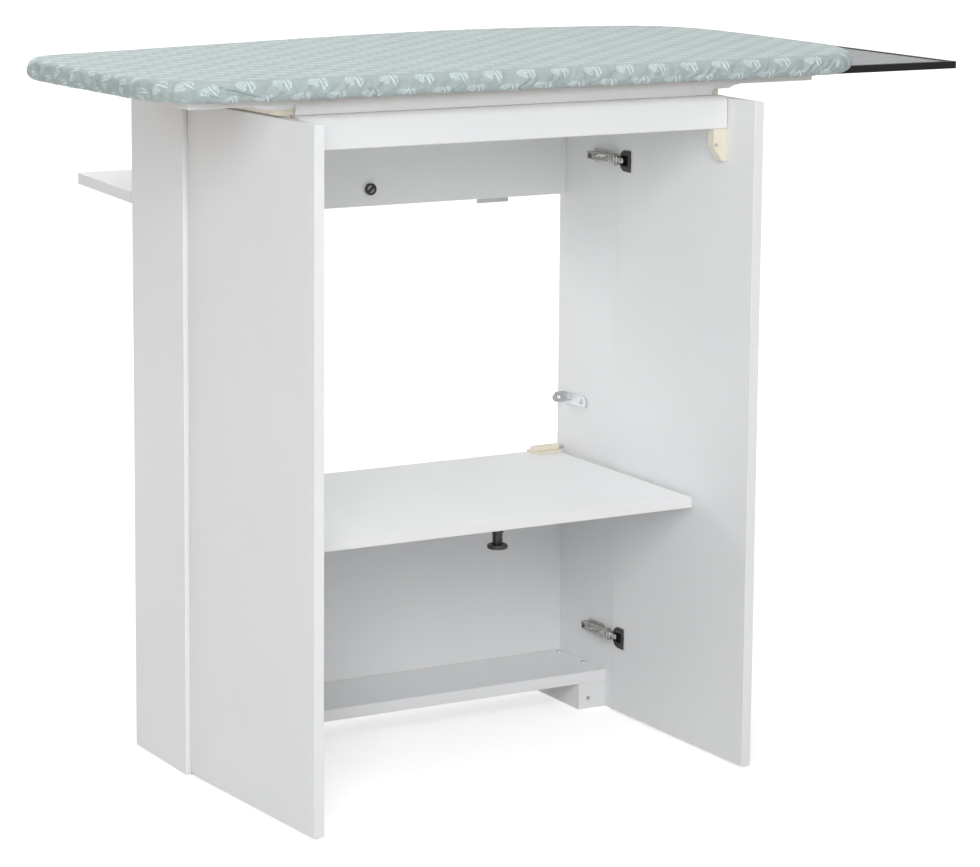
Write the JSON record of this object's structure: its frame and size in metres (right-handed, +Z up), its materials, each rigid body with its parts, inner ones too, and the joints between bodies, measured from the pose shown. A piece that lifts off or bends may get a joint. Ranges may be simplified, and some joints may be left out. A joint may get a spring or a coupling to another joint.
{
  "type": "ironing board cabinet",
  "caption": "Low open-backed cabinet whose turned-out doors carry a lifting padded ironing board with a framed mirror panel beneath it, a fold-up work shelf and a rear flap.",
  "frame": {"origin": "middle of the whole part's footprint, on the floor", "axes": "+X along the board towards the mirror panel's end, +Y from the doors to the rear, +Z up"},
  "size_m": [1.25, 0.6554, 0.932],
  "materials": {
    "white_board": "white melamine-faced chipboard with matching edging",
    "cream_plastic": "moulded cream plastic",
    "nickel": "nickel-plated steel",
    "zinc_steel": "zinc-plated steel",
    "black_plastic": "satin black plastic",
    "grey_plastic": "pale grey-green plastic",
    "black_frame": "black anodised section",
    "mirror_glass": "silvered glass",
    "mirror_backing": "silver-grey backing sheet",
    "raw_board": "plain thin board",
    "sage_fabric": "sage-green coated cotton with a small white sprig pattern"
  },
  "bodies": {
    "carcass": {"side_panel_left": "white_board", "side_panel_right": "white_board", "back_rail": "white_board", "lower_back_panel": "white_board", "bottom_shelf": "white_board", "foot_block_left": "white_board", "foot_block_right": "white_board", "shelf_screw_left_1": "zinc_steel", "shelf_screw_left_2": "zinc_steel", "shelf_screw_right_1": "zinc_steel", "shelf_screw_right_2": "zinc_steel", "wall_bracket_left": "zinc_steel", "wall_bracket_right": "zinc_steel", "bracket_screw_left_1": "zinc_steel", "bracket_screw_left_2": "zinc_steel", "bracket_screw_right_1": "zinc_steel", "bracket_screw_right_2": "zinc_steel", "hinge_arm_left_lower": "nickel", "hinge_arm_left_upper": "nickel", "hinge_arm_right_lower": "nickel", "hinge_arm_right_upper": "nickel", "shelf_pivot_pin_left": "zinc_steel", "shelf_pivot_pin_right": "zinc_steel", "pivot_block_left": "cream_plastic", "pivot_block_right": "cream_plastic", "top_pivot_pin_left": "nickel", "top_pivot_pin_right": "nickel", "rear_hinge_wall_left": "zinc_steel", "rear_hinge_wall_right": "zinc_steel"},
    "left_leaf": {"door_left": "white_board", "hinge_cup_left_lower": "black_plastic", "hinge_cup_left_upper": "black_plastic", "support_block_left": "cream_plastic"},
    "right_leaf": {"door_right": "white_board", "hinge_cup_right_lower": "black_plastic", "hinge_cup_right_upper": "black_plastic", "support_block_right": "cream_plastic"},
    "shelf": {"work_shelf": "white_board", "shelf_fitting_left": "cream_plastic", "shelf_fitting_right": "cream_plastic"},
    "knob": {"shelf_knob": "black_plastic", "latch_plate": "grey_plastic"},
    "catch": {"turn_catch": "black_plastic"},
    "top": {"front_rail": "white_board", "frame_arm_left": "cream_plastic", "frame_arm_right": "cream_plastic", "front_beam": "white_board", "rear_beam": "white_board", "front_batten": "white_board", "rear_batten": "white_board", "mirror_frame": "black_frame", "mirror_glass": "mirror_glass", "mirror_backing": "mirror_backing", "base_board": "raw_board", "board_pad": "sage_fabric"},
    "rear_flap": {"rear_shelf": "white_board", "rear_hinge_flap_left": "zinc_steel", "rear_hinge_flap_right": "zinc_steel"}
  },
  "joints": [
    {"name": "left_door_swing", "type": "hinge", "parent": "carcass", "child": "left_leaf", "pos_m": [-0.4445, -0.00409, 0.44], "axis": [0, 0, 1], "range_deg": [-18, 0]},
    {"name": "right_door_swing", "type": "hinge", "parent": "carcass", "child": "right_leaf", "pos_m": [0.2045, -0.00409, 0.44], "axis": [0, 0, 1], "range_deg": [0, 14]},
    {"name": "top_lift", "type": "hinge", "parent": "carcass", "child": "top", "pos_m": [-0.12, 0.14142, 0.887], "axis": [-1, 0, 0], "range_deg": [0, 54]},
    {"name": "work_shelf_fold", "type": "hinge", "parent": "carcass", "child": "shelf", "pos_m": [-0.12, 0.13442, 0.349], "axis": [-1, 0, 0], "range_deg": [0, 90]},
    {"name": "knob_turn", "type": "hinge", "parent": "shelf", "child": "knob", "pos_m": [-0.1, -0.19859, 0.31], "axis": [0, 0, 1], "range_deg": [-90, 0]},
    {"name": "catch_turn", "type": "hinge", "parent": "carcass", "child": "catch", "pos_m": [-0.1115, 0.13, 0.7335], "axis": [0, -1, 0], "range_deg": [0, 90]},
    {"name": "rear_shelf_fold", "type": "hinge", "parent": "carcass", "child": "rear_flap", "pos_m": [-0.12, 0.15291, 0.7278], "axis": [-1, 0, 0], "range_deg": [0, 90]}
  ]
}
